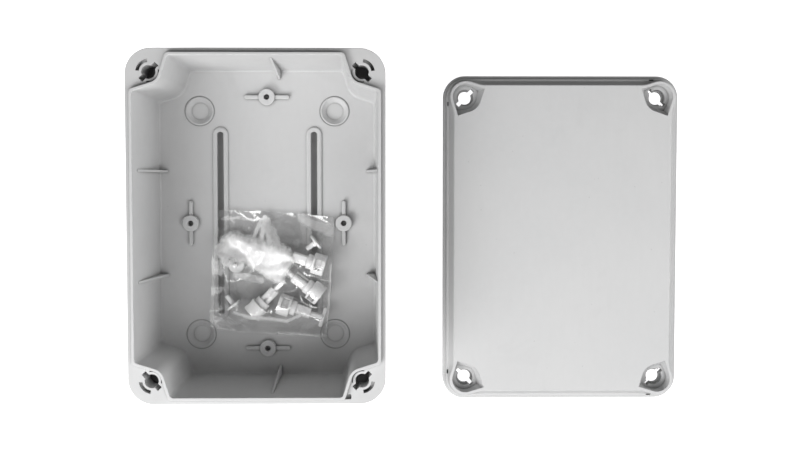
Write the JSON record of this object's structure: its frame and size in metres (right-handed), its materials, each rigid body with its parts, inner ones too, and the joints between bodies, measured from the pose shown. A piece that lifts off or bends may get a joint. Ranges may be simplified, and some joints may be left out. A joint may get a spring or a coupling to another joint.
{
  "type": "electrical junction box",
  "caption": "Rectangular surface-mount junction box, open base beside its lift-off lid, with quarter-turn lid fasteners and hole plugs in a clear bag.",
  "frame": {"origin": "centre of the base's underside, the face that lies on the wall", "axes": "+Z out of the base's mouth; +Y along the base's long side, away from the bag; +X along its short side, towards the lid lying beside it"},
  "size_m": [0.5116, 0.329, 0.1065],
  "materials": {
    "shell": "fine moulded grain",
    "moulded": "smooth moulded",
    "seal": "foam",
    "film": "clear film"
  },
  "bodies": {
    "base": {"base_box": "shell"},
    "lid": {"lid": "shell", "lid_gasket": "seal"},
    "polybag": {"polybag": "film", "hole_plug_1": "moulded", "hole_plug_2": "moulded", "hole_plug_3": "moulded", "hole_plug_4": "moulded"},
    "lid_fastener_1": {"lid_fastener_1": "moulded"},
    "lid_fastener_2": {"lid_fastener_2": "moulded"},
    "lid_fastener_3": {"lid_fastener_3": "moulded"},
    "lid_fastener_4": {"lid_fastener_4": "moulded"}
  },
  "joints": [
    {"name": "lid_lift", "type": "slide", "parent": "base", "child": "lid", "axis": [0, 0, 1], "range_m": [0, 0.15]},
    {"name": "bag_lift", "type": "slide", "parent": "base", "child": "polybag", "axis": [0, 0, 1], "range_m": [0, 0.12]},
    {"name": "lid_fastener_1_turn", "type": "hinge", "parent": "polybag", "child": "lid_fastener_1", "pos_m": [0.05, -0.039, 0.0259], "axis": [0.9563, -0.2924, 0], "range_deg": [0, 90]},
    {"name": "lid_fastener_2_turn", "type": "hinge", "parent": "polybag", "child": "lid_fastener_2", "pos_m": [0.047, -0.066, 0.0259], "axis": [0.7986, -0.6018, 0], "range_deg": [0, 90]},
    {"name": "lid_fastener_3_turn", "type": "hinge", "parent": "polybag", "child": "lid_fastener_3", "pos_m": [-0.01, -0.082, 0.0259], "axis": [-0.6947, -0.7193, 0], "range_deg": [0, 90]},
    {"name": "lid_fastener_4_turn", "type": "hinge", "parent": "polybag", "child": "lid_fastener_4", "pos_m": [0.017, -0.078, 0.0259], "axis": [-0.9511, 0.309, 0], "range_deg": [0, 90]}
  ]
}
